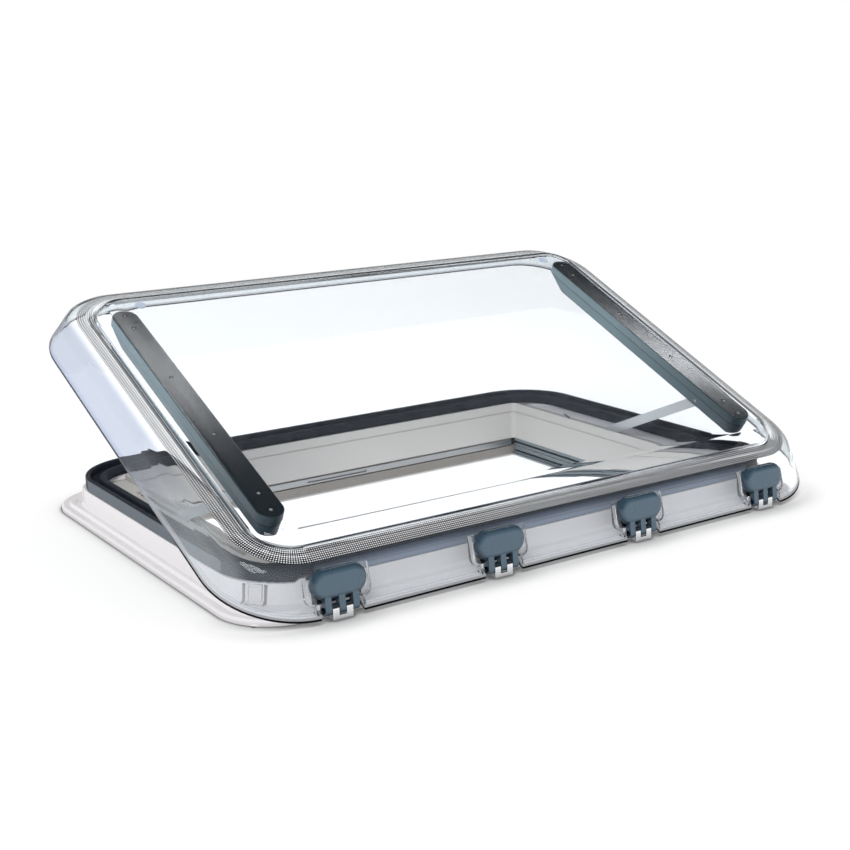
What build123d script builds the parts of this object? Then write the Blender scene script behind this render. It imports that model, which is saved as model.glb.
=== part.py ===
from build123d import *
from math import cos, hypot, radians, sin, sqrt
import os

os.makedirs("parts", exist_ok=True)

# Frame: x across the window, y from the hinge side to the back, z up.
# z = 0 is the roof surface under the flange, and the origin is the middle of the roof cut-out.
# A width named x is half of the whole width, because the window is the same left and right.

# Roof
cutout_x = 960.0
cutout_y = 655.0
roof_thickness = 25.0
open_angle = 23.32

# Clearances, and the length by which a cutting shape runs past a face
running_gap = 0.05
fit_gap = 0.3
loose_gap = 1.0
cut = 1.0

# Outer frame
flange_x = cutout_x / 2 + 18.5
flange_y = cutout_y / 2 + 21.5
flange_r = 83.0
flange_t = 8.0
flange_lip = 3.0
ridge_in = 10.0
ridge_h = 5.0
upstand_x = flange_x - 22.5
upstand_front = -flange_y + 27.0
upstand_back = flange_y - 17.0
upstand_r = 102.0
upstand_z = 38.5
upstand_taper = 7.0
foot_fillet = 7.0
lip_lean = 40.0
ridge_lean = 25.0
foot_lean = 42.0
shell = 4.5
hollow_in = 7.5
clip_w = 21.0
clip_h = 26.0
clip_t = 5.0
clip_up = 16.0
clip_rib = 1.6
clip_rim = 2.2
clip_out = 1.0
clip_turn_front = 38.0
clip_turn_back = 29.0
slit_w = 4.4
slit_side = 15.0
gusset_turn = 47.0
gusset_out = 14.0
gusset_w = 6.0

# Inner lining
lining_x = cutout_x / 2 - 90.0
lining_y = cutout_y / 2 - 45.5
lining_wall = 3.0
lining_top = 42.0
lining_r = 8.0
line_z = 25.0
line_h = 2.0
line_depth = 1.2
recess_x = lining_x + 28.0
recess_y = lining_y + 4.0
recess_z = 33.0
recess_r = 6.0

# Seal
seal_x = upstand_x - 4.6
seal_front = upstand_front + 5.5
seal_back = upstand_back - 4.5
seal_r = 105.0
seal_width = 31.0
seal_h = 20.0
seal_lip = 7.0
seal_lip_inner = 9.0
seal_floor = 6.5
seal_inner_drop = 4.0

# Ceiling frame, rails and cassettes
rail_x = lining_x + 42.0
cassette_y = lining_y + 52.0
ceiling_x = rail_x + 80.0
ceiling_y = cassette_y + 28.0
ceiling_r = 45.0
ceiling_z = -roof_thickness - 35.0
ceiling_wall = 3.0
post_r = 5.0
rail_lip = 2.5

# Blinds
slot_h = 4.0
slot_depth = 14.0
screen_slot_z = -roof_thickness - 8.5
blind_slot_z = -roof_thickness - 25.0
cassette_wall = 3.0
bar_h = 12.0
bar_depth = 12.0
bar_grip = 60.0
tongue_h = 3.0
tongue_w = 6.0
cloth_slit = 3.0
roll_r = 10.0
tube_r = 5.0

# Pin axis and hinge line
hinge_pitch = 250.0
hinge_x = [-1.5 * hinge_pitch, -0.5 * hinge_pitch, 0.5 * hinge_pitch, 1.5 * hinge_pitch]
pin_y = -flange_y - 12.5
pin_z = 14.0

# Lid outline at the lower edge of its skirt, with y and height counted from the pin axis
lid_x = flange_x + 19.0
lid_front = -10.5
lid_back = flange_y - pin_y + 22.2
lid_r = 115.6
pane_wall = 3.8
# Skirt and shoulder as (inset at sides and back, inset at the front, height)
skirt_rows = [
    (0.0, 0.0, -5.2),
    (4.5, 7.5, 5.0),
    (9.3, 16.2, 15.0),
    (14.3, 25.7, 27.0),
    (19.5, 34.5, 38.0),
    (26.0, 41.0, 43.3),
    (34.5, 48.5, 46.8),
]

# Raised middle of the lid
step_x = lid_x - 57.5
step_front = lid_front + 70.0
step_back = lid_back - 59.2
step_r = 58.0
# Step up to the raised middle as (inset, height)
step_rows = [
    (0.0, 54.0),
    (4.7, 57.2),
    (10.8, 62.8),
    (16.2, 66.3),
    (23.5, 68.2),
    (34.0, 68.6),
]
land_z = 49.0
land_out = 2.0
land_in = 8.5
inner_pane_t = 3.0
plug_in_x = 75.0
plug_in_back = 47.5
plug_r = 8.0
plug_h = 2.0
plug_stem_r = 3.0

# Stay arms
arm_x = lining_x + 16.0
arm_t = 3.0
arm_half = 8.0
arm_length = 268.0
arm_slot = 7.0
pivot_t = 207.8
pivot_s = 36.0
pivot_r = 3.0
axle_r = 2.5
axle_head = 1.0
roller_r = 5.0
roller_w = 4.0

# Arm housings on the lid
housing_x = arm_x + 10.5
housing_near = 116.0
housing_far = step_back - 49.5
base_half = 19.5
base_h = 13.8
cover_half_top = 18.5
cover_half_bottom = 15.5
cover_h = 18.0
cover_far_cut = 36.0
screw_inset = [15.0, 50.0, 184.0]
screw_head_r = 3.5
screw_head_h = 2.0
screw_r = 1.8
screw_slot = 0.9
screw_hold = 10.0
screw_sink = 1.8

# Side tracks
track_inner = lining_x + lining_wall + loose_gap
track_outer = recess_x - 0.5
track_end = 10.0
track_top = 36.0
track_floor = 1.6
groove_h = 14.8
groove_top = 27.8
roller_rise = 0.8
groove_reach_front = 79.0
groove_reach_back = 62.0
slot_reach_front = 229.0
slot_reach_back = 136.0
wire_r = 1.2
hook_reach = 76.0
hook_lean = 8.0
hook_length = 24.0
hook_bend = 4.0

# Hinges
pin_r = 4.0
pin_half = 28.0
knuckle_r = 7.0
prong_w = 9.0
prong_pitch = 20.0
finger_w = 9.2
bracket_half = 14.6
bracket_t = 3.0
bracket_reach = 42.0
bracket_bridge = 6.5
bracket_hole = 12.0
bracket_screw_l = 6.5
cover_lean = 30.0
cover_t = 19.5
cover_s = 27.2
cover_w = 80.5
cover_height = 40.0
cover_depth = 12.0
cover_round = 9.5
prong_depth = 10.0
pocket_gap = 3.0
pocket_wall = 4.0
pocket_r = 9.0
notch_half = 31.0
notch_h = 20.0
notch_down = 26.0
plate_w = 70.0
plate_h = 40.0
plate_t = 3.0
bolt_r = 2.5
bolt_head_r = 4.5
bolt_head_h = 2.5
bolt_x = 24.0
bolt_hold = 7.0


def ring_face(half_x, low_y, high_y, z, radius):
    """Rounded rectangle at height z, given by its half width and its two y edges."""
    middle = (low_y + high_y) / 2
    return Pos(0, middle, z) * RectangleRounded(2 * half_x, high_y - low_y, radius)


def block(half_x, low_y, high_y, radius, z0, z1, taper=0.0):
    """Rounded slab between two heights; the taper leans its sides inwards."""
    return extrude(ring_face(half_x, low_y, high_y, z0, radius), amount=z1 - z0, taper=taper)


def stack(sections):
    """Solid through a list of rounded rectangles, in straight steps."""
    layers = [
        loft([ring_face(*low), ring_face(*high)], ruled=True)
        for low, high in zip(sections, sections[1:])
    ]
    whole = layers[0]
    for layer in layers[1:]:
        whole = whole + layer
    return whole


def span(x0, x1, y0, y1, z0, z1):
    """Box given by its limits."""
    return Pos((x0 + x1) / 2, (y0 + y1) / 2, (z0 + z1) / 2) * Box(abs(x1 - x0), abs(y1 - y0), abs(z1 - z0))


def rod_x(x0, x1, y, z, radius):
    """Round bar along x."""
    return Pos((x0 + x1) / 2, y, z) * Rot(0, 90, 0) * Cylinder(radius, abs(x1 - x0))


def rod_z(x, y, z0, z1, radius):
    """Round bar along z."""
    return Pos(x, y, (z0 + z1) / 2) * Cylinder(radius, z1 - z0)


def cross(x, y, z, width):
    """Cross recess of a screw head, sunk to both sides of height z."""
    return Pos(x, y, z) * (Box(width, screw_slot, screw_r) + Box(screw_slot, width, screw_r))


def on_pin(piece):
    """Moves a piece drawn about the pin axis to its place over the roof."""
    return Pos(0, pin_y, pin_z) * piece


def opened(piece):
    """Turns a piece drawn on the closed lid to the open rest position."""
    return on_pin(Rot(open_angle, 0, 0) * piece)


def other_side(piece):
    """Left piece made from the right one."""
    return mirror(piece, about=Plane.YZ)


def other_end(piece):
    """Piece at the hinge side made from the one at the back."""
    return mirror(piece, about=Plane.XZ)


def save(piece, name):
    """Writes one node; a list becomes a group of separate solids."""
    items = piece if isinstance(piece, list) else [piece]
    flat = [solid for item in items for solid in item.solids()]
    export_step(Compound(children=flat), "parts/" + name + ".step")


# Frame body

def seal_mouth(z0, z1, gap):
    """Space inside the seal, made smaller by the gap."""
    edge = seal_width + gap
    return block(seal_x - edge, seal_front + edge, seal_back - edge, seal_r - edge, z0, z1)


def corner_place(side, end, turn):
    """Foot of the upstand's wall on a corner arc: local x points outwards, local z runs up the lean."""
    edge = upstand_back if end > 0 else upstand_front
    angle = end * turn if side > 0 else 180 - end * turn
    middle = Pos(side * (upstand_x - upstand_r), edge - end * upstand_r, flange_t)
    return middle * Rot(0, 0, angle) * Pos(upstand_r, 0, 0) * Rot(0, -upstand_taper, 0)


def clip_places(end):
    turn = clip_turn_back if end > 0 else clip_turn_front
    return [corner_place(side, end, turn) for side in (-1, 1)]


def gusset():
    """Triangular rib from the upstand down to the flange, at a back corner."""
    top = clip_up + clip_h / 2
    side = Polygon((-shell, cut), (gusset_out, cut), (0, top), (-shell, top), align=None)
    return extrude(Plane.XZ * side, amount=gusset_w / 2, both=True)


def outer_frame():
    """Flange on the roof, with the hollow upstand that carries the seal."""
    lip_z = flange_t - flange_lip
    ridge_x = flange_x - ridge_in
    ridge_y = flange_y - ridge_in
    ridge_z = flange_t + ridge_h
    body = block(flange_x, -flange_y, flange_y, flange_r, 0, lip_z)
    body += block(flange_x, -flange_y, flange_y, flange_r, lip_z, flange_t, taper=lip_lean)
    body += block(ridge_x, -ridge_y, ridge_y, flange_r - ridge_in, lip_z, ridge_z, taper=ridge_lean)
    body += block(
        upstand_x + foot_fillet, upstand_front - foot_fillet, upstand_back + foot_fillet,
        upstand_r + foot_fillet, flange_t, ridge_z + foot_fillet, taper=foot_lean)
    body += block(
        upstand_x, upstand_front, upstand_back, upstand_r, flange_t, upstand_z, taper=upstand_taper)
    for side in (-1, 1):
        body += corner_place(side, 1, gusset_turn) * gusset()
    mouth = loft([
        ring_face(recess_x, -recess_y, recess_y, recess_z, recess_r),
        ring_face(
            seal_x - seal_width, seal_front + seal_width, seal_back - seal_width, upstand_z,
            seal_r - seal_width),
    ], ruled=True)
    well = block(recess_x, -recess_y, recess_y, recess_r, flange_t, recess_z)
    hole = block(
        lining_x + lining_wall, -lining_y - lining_wall, lining_y + lining_wall, lining_r + lining_wall,
        -cut, flange_t + cut)
    hollow = block(
        upstand_x - hollow_in, upstand_front + hollow_in, upstand_back - hollow_in, upstand_r - hollow_in,
        -cut, upstand_z - shell, taper=upstand_taper)
    hollow -= block(recess_x + shell, -recess_y - shell, recess_y + shell, recess_r + shell, -cut, upstand_z)
    hollow -= seal_mouth(recess_z - shell, upstand_z, -shell)
    body = body - mouth - well - hole - hollow
    for x in hinge_x:
        body -= span(
            x - bracket_half, x + bracket_half, -flange_y - cut, pin_y + bracket_reach, -cut, bracket_t)
        for dx in finger_places():
            body -= rod_z(x + dx, pin_y + bracket_reach - bracket_hole, 0, bracket_screw_l, screw_r)
    pocket = Pos(clip_out + clip_t / 2, 0, clip_up) * Box(
        3 * clip_t, clip_w + 2 * fit_gap, clip_h + 2 * fit_gap)
    for place in clip_places(-1) + clip_places(1):
        body -= place * pocket
        for side in (-slit_side, slit_side):
            body -= place * Pos(0, side, clip_up) * Box(4 * shell, slit_w, clip_h)
    return body


def corner_clips():
    """Small covers between the slits: framed at the front corners, with two upright ribs at the back."""
    panel = Pos(clip_out - clip_t / 2, 0, clip_up) * Box(clip_t, clip_w, clip_h)
    framed = panel - Pos(clip_out, 0, clip_up) * Box(
        2 * clip_rib, clip_w - 2 * clip_rim, clip_h - 2 * clip_rim)
    ribbed = panel
    for side in (-clip_w / 4, clip_w / 4):
        ribbed += Pos(clip_out, side, clip_up) * Cylinder(clip_rib, clip_h)
    return [place * framed for place in clip_places(-1)] + [place * ribbed for place in clip_places(1)]


def rubber_seal():
    """Seal with an outer lip, a lower inner lip and a groove between them."""
    top = upstand_z + seal_h
    floor = upstand_z + seal_floor
    inner_edge = seal_width - seal_lip_inner
    outer = block(seal_x, seal_front, seal_back, seal_r, upstand_z, top)
    groove = block(
        seal_x - seal_lip, seal_front + seal_lip, seal_back - seal_lip, seal_r - seal_lip, floor, top + cut)
    groove -= block(
        seal_x - inner_edge, seal_front + inner_edge, seal_back - inner_edge, seal_r - inner_edge,
        floor, top - seal_inner_drop)
    return outer - groove - seal_mouth(upstand_z - cut, top + cut, 0)


def inner_lining():
    """Wall round the opening, from the ceiling frame up into the well, with a groove line."""
    bottom = -roof_thickness
    body = block(
        lining_x + lining_wall, -lining_y - lining_wall, lining_y + lining_wall, lining_r + lining_wall,
        bottom, recess_z)
    upper = block(
        lining_x + lining_wall, -lining_y - lining_wall, lining_y + lining_wall, lining_r + lining_wall,
        recess_z, lining_top)
    body += upper & seal_mouth(recess_z, lining_top, fit_gap)
    body -= block(lining_x, -lining_y, lining_y, lining_r, bottom - cut, lining_top + cut)
    return body - block(
        lining_x + line_depth, -lining_y - line_depth, lining_y + line_depth, lining_r + line_depth,
        line_z, line_z + line_h)


def frame_screw_places():
    """Screws that clamp the ceiling frame, outside the rails and cassettes."""
    side_x = (rail_x + ceiling_x) / 2 + post_r
    side_y = (cassette_y + ceiling_y) / 2
    across = [(step * 0.75 * lining_x, sign * side_y) for step in (-1, 0, 1) for sign in (-1, 1)]
    along = [(sign * side_x, step * 0.75 * lining_y) for step in (-1, 0, 1) for sign in (-1, 1)]
    return across + along


def ceiling_frame():
    """Hollow frame under the ceiling, with the well for the rails and cassettes."""
    top = -roof_thickness
    inside_z = ceiling_z + ceiling_wall
    body = block(ceiling_x, -ceiling_y, ceiling_y, ceiling_r, ceiling_z, top)
    body -= block(
        ceiling_x - ceiling_wall, -ceiling_y + ceiling_wall, ceiling_y - ceiling_wall,
        ceiling_r - ceiling_wall, inside_z, top - ceiling_wall)
    body -= block(lining_x, -lining_y, lining_y, lining_r, ceiling_z - cut, inside_z + cut)
    body -= span(-rail_x, rail_x, -cassette_y, cassette_y, top - ceiling_wall - cut, top + cut)
    for x, y in frame_screw_places():
        body = body + rod_z(x, y, ceiling_z, top, post_r)
        body -= rod_z(x, y, ceiling_z - cut, ceiling_z + 2 * ceiling_wall, screw_head_r)
        body -= rod_z(x, y, ceiling_z, top + cut, screw_r)
    return body


def frame_screws():
    """Screws of the ceiling frame, their heads sunk in its lower face."""
    pieces = []
    head_top = ceiling_z + 2 * ceiling_wall
    head_low = head_top - screw_head_h
    for x, y in frame_screw_places():
        head = rod_z(x, y, head_low, head_top, screw_head_r) - cross(x, y, head_low, screw_head_r)
        pieces.append(head + rod_z(x, y, head_top, -roof_thickness - fit_gap, screw_r))
    return pieces


def foot_point():
    """World y and z of the arm's foot at rest, set by the track and the arm's length."""
    y, z = pivot_point()
    foot_z = groove_top - roller_r - roller_rise
    foot_y = y + sqrt(arm_length ** 2 - (z - foot_z) ** 2)
    return foot_y, foot_z


def side_track():
    """Track on the right side; the foot roller of the stay arm runs in its groove."""
    foot_y = foot_point()[0]
    end_y = recess_y - recess_r - track_end
    body = span(track_inner, track_outer, -end_y, end_y, flange_t, track_top)
    body -= span(
        arm_x - arm_slot / 2, arm_x + arm_slot / 2, foot_y - slot_reach_front, foot_y + slot_reach_back,
        flange_t + track_floor, track_top + cut)
    return body - span(
        arm_x, axle_end() + loose_gap, foot_y - groove_reach_front, foot_y + groove_reach_back,
        groove_top - groove_h, groove_top)


def cable_hook():
    """Bent wire that stands out of the right track slot behind the arm."""
    low = (arm_x, foot_point()[0] + hook_reach, flange_t + track_floor)
    knee = (low[0], low[1], track_top + 2 * wire_r)
    tip = (knee[0] + hook_lean, knee[1] + hook_length, knee[2] + wire_r)
    path = Polyline(low, knee, tip)
    bend = fillet(path.vertices().sort_by(Axis.Y)[1:2], radius=hook_bend)
    return sweep(Plane(bend @ 0, z_dir=bend % 0) * Circle(wire_r), path=bend)


def finger_places():
    return [-prong_pitch / 2, prong_pitch / 2]


def bracket():
    """Steel hinge bracket: a plate under the flange, turned up in front into two fingers round the pin."""
    low = -pin_z
    front = -knuckle_r + fit_gap
    body = span(-bracket_half, bracket_half, front, bracket_reach, low, low + bracket_t)
    body += span(-bracket_half, bracket_half, front, front + bracket_t, low, low + bracket_bridge)
    for dx in finger_places():
        x0 = dx - finger_w / 2
        x1 = dx + finger_w / 2
        finger = rod_x(x0, x1, 0, 0, knuckle_r - fit_gap)
        finger += span(x0, x1, front, front + bracket_t, low, 0)
        finger -= rod_x(x0 - cut, x1 + cut, 0, 0, pin_r + running_gap)
        body += finger
        body -= bracket_hole_shape(dx)
    return body


def bracket_hole_shape(dx):
    """Countersunk hole in the bracket, from below."""
    y = bracket_reach - bracket_hole
    sink = Pos(dx, y, -pin_z + screw_sink / 2) * Cone(screw_head_r, screw_r, screw_sink)
    return sink + rod_z(dx, y, -pin_z + screw_sink, -pin_z + bracket_t + cut, screw_r)


def bracket_screw(dx):
    """Countersunk screw that holds the bracket under the flange."""
    y = bracket_reach - bracket_hole
    head = Pos(dx, y, -pin_z + screw_sink / 2) * Cone(screw_head_r, screw_r, screw_sink)
    return head + rod_z(dx, y, -pin_z + screw_sink, -pin_z + bracket_screw_l, screw_r)


# Blinds

def blind_rail():
    """Right guide rail with one slot for the screen and one for the blackout blind."""
    bottom = ceiling_z + ceiling_wall
    top = -roof_thickness
    face = lining_x + lining_wall / 2
    middle = (screen_slot_z + blind_slot_z) / 2
    body = span(face, rail_x, -lining_y, lining_y, bottom, top)
    body += span(face - 2 * rail_lip, face, -lining_y, lining_y, bottom, bottom + rail_lip)
    body += span(face - rail_lip, face, -lining_y, lining_y, middle - rail_lip / 2, middle + rail_lip / 2)
    for z in (screen_slot_z, blind_slot_z):
        body -= span(
            face - cut, face + slot_depth, -lining_y - cut, lining_y + cut, z - slot_h / 2, z + slot_h / 2)
    return body


def rebate_y():
    """World y of the wall behind the parked pull bar, in the back cassette."""
    return lining_y + loose_gap + bar_depth + fit_gap


def roll_middle():
    """World y and z of the roll's axis inside the back cassette."""
    return (rebate_y() + cassette_y) / 2, (ceiling_z + ceiling_wall - roof_thickness) / 2


def cassette(slot_z):
    """Back cassette: a long box with a slit for the cloth and a rebate where the pull bar parks."""
    bottom = ceiling_z + ceiling_wall
    top = -roof_thickness
    half = rail_x - loose_gap
    rebate = rebate_y()
    park = bar_h / 2 + loose_gap
    wall = cassette_wall
    body = span(-half, half, lining_y, cassette_y, bottom, top)
    body -= span(
        -half + wall, half - wall, rebate + wall, cassette_y - wall, bottom + wall, top - wall)
    body -= span(-half - cut, half + cut, lining_y - cut, rebate, slot_z - park, slot_z + park)
    return body - span(
        -half + 2 * wall, half - 2 * wall, rebate - cut, rebate + wall + cut,
        slot_z - cloth_slit / 2, slot_z + cloth_slit / 2)


def pull_bar(slot_z):
    """Bar at the cloth's free edge, with a tongue at each end that runs in the rail slots."""
    half = lining_x - 2 * rail_lip
    tongue = lining_x + slot_depth - 2 * loose_gap
    y0 = lining_y + loose_gap
    y1 = y0 + bar_depth
    body = span(-half, half, y0, y1, slot_z - bar_h / 2, slot_z + bar_h / 2)
    body = fillet(body.edges().filter_by(Axis.X), radius=bar_h / 8)
    body -= span(-bar_grip, bar_grip, y0 - cut, y0 + bar_depth / 4, slot_z - slot_h / 2, slot_z + slot_h / 2)
    middle = (y0 + y1) / 2
    return body + span(
        -tongue, tongue, middle - tongue_w / 2, middle + tongue_w / 2,
        slot_z - tongue_h / 2, slot_z + tongue_h / 2)


def cloth_roll():
    """Cloth wound on its tube inside the back cassette."""
    y, z = roll_middle()
    half = rail_x - 4 * cassette_wall
    return rod_x(-half, half, y, z, roll_r) - rod_x(-half - cut, half + cut, y, z, tube_r)


def roller_tube():
    """Tube that carries the cloth, from end wall to end wall of the cassette."""
    y, z = roll_middle()
    half = rail_x - loose_gap - cassette_wall
    return rod_x(-half, half, y, z, tube_r)


# Lid body, drawn closed about the pin axis

def inner_rows(rows):
    """Rows of the inner surface, one wall thickness square to the outer rows."""
    moved = []
    for index, row in enumerate(rows):
        before = rows[max(index - 1, 0)]
        after = rows[min(index + 1, len(rows) - 1)]
        run = after[0] - before[0]
        rise = after[-1] - before[-1]
        length = hypot(run, rise)
        inwards = [value + pane_wall * rise / length for value in row[:-1]]
        moved.append((*inwards, row[-1] - pane_wall * run / length))
    return moved


def skirt_sections(rows):
    return [
        (lid_x - inset, lid_front + front, lid_back - inset, height, lid_r - inset)
        for inset, front, height in rows]


def step_sections(rows):
    return [
        (step_x - inset, step_front + inset, step_back - inset, height, step_r - inset)
        for inset, height in rows]


def cover_place():
    """Plane of the hinge cover's back face: local x across, local y up the cover."""
    lean = radians(cover_lean)
    return Plane(origin=(0, cover_t, cover_s), x_dir=(1, 0, 0), z_dir=(0, -cos(lean), sin(lean)))


def pocket_shape(grow):
    """Outline round a hinge cover, carried down past the pin."""
    outline = RectangleRounded(cover_w + 2 * grow, cover_height + 2 * grow, pocket_r + grow - pocket_gap)
    low = cover_height + cover_s
    return outline + Pos(0, -low / 2) * Rectangle(2 * (notch_half + grow - pocket_gap), low)


def outer_pane():
    """Clear outer pane: skirt, shoulder and raised middle, with four hinge pockets."""
    solid = stack(skirt_sections(skirt_rows) + step_sections(step_rows))
    hollow = skirt_sections(inner_rows(skirt_rows)) + step_sections([(-land_out, land_z)])
    dome = step_sections([(land_in, land_z)] + inner_rows(step_rows)[1:])
    pane = solid - stack(hollow) - stack(dome)
    place = cover_place()
    reach = cover_height + cover_depth
    for x in hinge_x:
        move = Pos(x, 0, 0)
        wall = extrude(pocket_shape(pocket_gap + pocket_wall), amount=reach)
        pane += (move * place * Pos(0, 0, -pocket_wall) * wall) & solid
        pane -= move * place * extrude(pocket_shape(pocket_gap), amount=reach)
        notch = extrude(Rectangle(2 * notch_half, notch_h), amount=reach)
        pane -= move * place * Pos(0, -notch_down, -reach / 2) * notch
        pane -= rod_x(x - notch_half, x + notch_half, 0, 0, knuckle_r + 2 * loose_gap)
        for dx in (-bolt_x, bolt_x):
            pane -= move * place * Pos(dx, 0, -reach / 4) * extrude(Circle(bolt_r), amount=reach / 2)
    top = step_rows[-1][-1]
    for x in plug_places():
        pane -= rod_z(x, step_back - plug_in_back, top - 2 * pane_wall, top + cut, plug_stem_r)
    return pane


def plug_places():
    return [-step_x + plug_in_x, step_x - plug_in_x]


def screw_places():
    """Distances of the housing screws from the pin axis."""
    near = [housing_near + inset for inset in screw_inset]
    return near + [housing_far - inset for inset in reversed(screw_inset)]


def inner_pane():
    """Flat clear pane under the raised middle, bonded to the outer pane's land."""
    edge = land_out - loose_gap
    pane = block(
        step_x + edge, step_front - edge, step_back + edge, step_r + edge, land_z - inner_pane_t, land_z)
    for x in (-housing_x, housing_x):
        for t in screw_places():
            pane -= rod_z(x, t, land_z - 2 * inner_pane_t, land_z + cut, screw_r)
    return pane


def vent_plugs():
    """Two round plugs in the outer pane near the back."""
    pieces = []
    top = step_rows[-1][-1]
    t = step_back - plug_in_back
    for x in plug_places():
        head = rod_z(x, t, top, top + plug_h, plug_r)
        head = fillet(head.edges().group_by(Axis.Z)[-1], radius=0.45 * plug_h)
        pieces.append(head + rod_z(x, t, top - pane_wall - loose_gap, top, plug_stem_r))
    return pieces


def bar_outline(half, near, far):
    return Pos(housing_x, (near + far) / 2, 0) * RectangleRounded(2 * half, far - near, 0.99 * half)


def housing_base():
    """Right housing between the panes, with counterbored holes for the screws."""
    top = land_z + base_h
    body = extrude(Pos(0, 0, land_z) * bar_outline(base_half, housing_near, housing_far), amount=base_h)
    body = chamfer(body.edges().group_by(Axis.Z)[-1], length=loose_gap)
    for t in screw_places():
        body -= rod_z(housing_x, t, land_z - cut, top + cut, screw_r)
        body -= rod_z(housing_x, t, top - screw_head_h - fit_gap, top + cut, screw_head_r)
    return body


def housing_cover():
    """Right housing cover under the inner pane, slotted for the stay arm."""
    top_z = land_z - inner_pane_t
    low_z = top_z - cover_h
    body = loft([
        Pos(0, 0, low_z) * bar_outline(cover_half_bottom, housing_near + 3, housing_far - cover_far_cut),
        Pos(0, 0, top_z) * bar_outline(cover_half_top, housing_near + 1, housing_far - 2),
    ], ruled=True)
    body -= span(
        arm_x - arm_slot / 2, arm_x + arm_slot / 2, pivot_t - arm_half - 3, pivot_t + arm_length / 2 + arm_half,
        low_z - cut, top_z + cut)
    body -= rod_x(arm_x - 2 * arm_half, housing_x + arm_half, pivot_t, pivot_s, pivot_r)
    for t in screw_places():
        body -= rod_z(housing_x, t, top_z - screw_hold, top_z + cut, screw_r)
    return body


def housing_screws():
    """Screws that clamp base and cover on the inner pane, on both sides."""
    pieces = []
    head_low = land_z + base_h - screw_head_h - fit_gap
    head_top = land_z + base_h - fit_gap
    low = land_z - inner_pane_t - screw_hold
    for x in (-housing_x, housing_x):
        for t in screw_places():
            head = rod_z(x, t, head_low, head_top, screw_head_r) - cross(x, t, head_top, screw_head_r)
            pieces.append(head + rod_z(x, t, low, head_low, screw_r))
    return pieces


def hinge_cover():
    """Rounded cover with three prongs that hold the pin."""
    place = cover_place()
    lean = radians(cover_lean)
    pin_v = -(cover_t * sin(lean) + cover_s * cos(lean))
    prong_top = -cover_height / 4
    body = extrude(RectangleRounded(cover_w, cover_height, 0.499 * cover_height), amount=cover_depth)
    body = fillet(body.edges().group_by(Axis.Z)[-1], radius=cover_round)
    for dx in prong_places():
        body += Pos(dx, (pin_v + prong_top) / 2, prong_depth / 2 + fit_gap) * Box(
            prong_w, prong_top - pin_v, prong_depth)
    body = place * body
    for dx in prong_places():
        body += rod_x(dx - prong_w / 2, dx + prong_w / 2, 0, 0, knuckle_r)
    body -= rod_x(-cover_w / 2, cover_w / 2, 0, 0, pin_r)
    for dx in (-bolt_x, bolt_x):
        body -= place * Pos(dx, 0, -cut) * extrude(Circle(bolt_r), amount=bolt_hold + cut)
    return body


def prong_places():
    return [-prong_pitch, 0.0, prong_pitch]


def hinge_plate():
    """Ribbed backing plate inside the skirt."""
    back = -pocket_wall - plate_t
    body = Pos(0, -2 * plate_t, back) * extrude(RectangleRounded(plate_w, plate_h, pocket_wall), amount=plate_t)
    for step in (-1, 0, 1):
        rib_y = -plate_h / 2 - plate_t / 6 + step * plate_t
        body += Pos(0, rib_y, back + plate_t) * extrude(
            Rectangle(2 * notch_half - 2 * pocket_wall, plate_t / 2), amount=0.8 * plate_t)
    for dx in (-bolt_x, bolt_x):
        body -= Pos(dx, 0, back - cut) * extrude(Circle(bolt_r), amount=3 * plate_t)
    return cover_place() * body


def hinge_bolt(dx):
    """Bolt from the backing plate through the pane into the hinge cover."""
    back = -pocket_wall - plate_t
    head = Pos(dx, 0, back - bolt_head_h) * extrude(Circle(bolt_head_r), amount=bolt_head_h)
    return cover_place() * (head + Pos(dx, 0, back) * extrude(Circle(bolt_r), amount=bolt_hold - back))


def hinge_pin():
    """Pin through the prongs and the bracket fingers."""
    rod = rod_x(-pin_half, pin_half, 0, 0, pin_r)
    return chamfer(rod.edges().filter_by(GeomType.CIRCLE), length=pin_r / 6)


# Stay arms, drawn in place at the open rest position

def pivot_point():
    """World y and z of the arm's upper pivot at rest."""
    turn = radians(open_angle)
    y = pin_y + pivot_t * cos(turn) - pivot_s * sin(turn)
    z = pin_z + pivot_t * sin(turn) + pivot_s * cos(turn)
    return y, z


def axle_end():
    return arm_x + arm_t / 2 + roller_w + 2 * fit_gap + axle_head


def stay_arm():
    """Flat bar from the pivot in the housing to the foot in the side track."""
    y, z = pivot_point()
    foot_y, foot_z = foot_point()
    flat = Plane(
        origin=(arm_x - arm_t / 2, y, z), x_dir=(0, foot_y - y, foot_z - z), z_dir=(1, 0, 0))
    outline = Pos(arm_length / 2, 0) * Rectangle(arm_length, 2 * arm_half)
    outline += Circle(arm_half) + Pos(arm_length, 0) * Circle(arm_half)
    outline -= Circle(pivot_r + running_gap)
    outline -= Pos(arm_length, 0) * Circle(axle_r)
    return flat * extrude(outline, amount=arm_t)


def roller_axle():
    """Riveted axle of the foot roller."""
    y, z = foot_point()
    side = arm_x - arm_t / 2
    return rod_x(side - axle_head, side, y, z, axle_r + axle_head) + rod_x(side, axle_end(), y, z, axle_r)


def guide_roller():
    """Roller on the foot axle."""
    y, z = foot_point()
    x0 = arm_x + arm_t / 2 + fit_gap
    ring = rod_x(x0, x0 + roller_w, y, z, roller_r)
    ring = chamfer(ring.edges().filter_by(GeomType.CIRCLE), length=roller_r / 10)
    return ring - rod_x(x0 - cut, x0 + roller_w + cut, y, z, axle_r)


def arm_pivot():
    """Pin in the housing cover that the arm turns on, drawn on the closed lid."""
    return rod_x(arm_x - arm_slot / 2 - 2 * loose_gap, housing_x + arm_half, pivot_t, pivot_s, pivot_r)


def save_pair(piece, name):
    """Writes the right piece and its mirror image on the left."""
    save(piece, name + "_right")
    save(other_side(piece), name + "_left")


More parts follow.
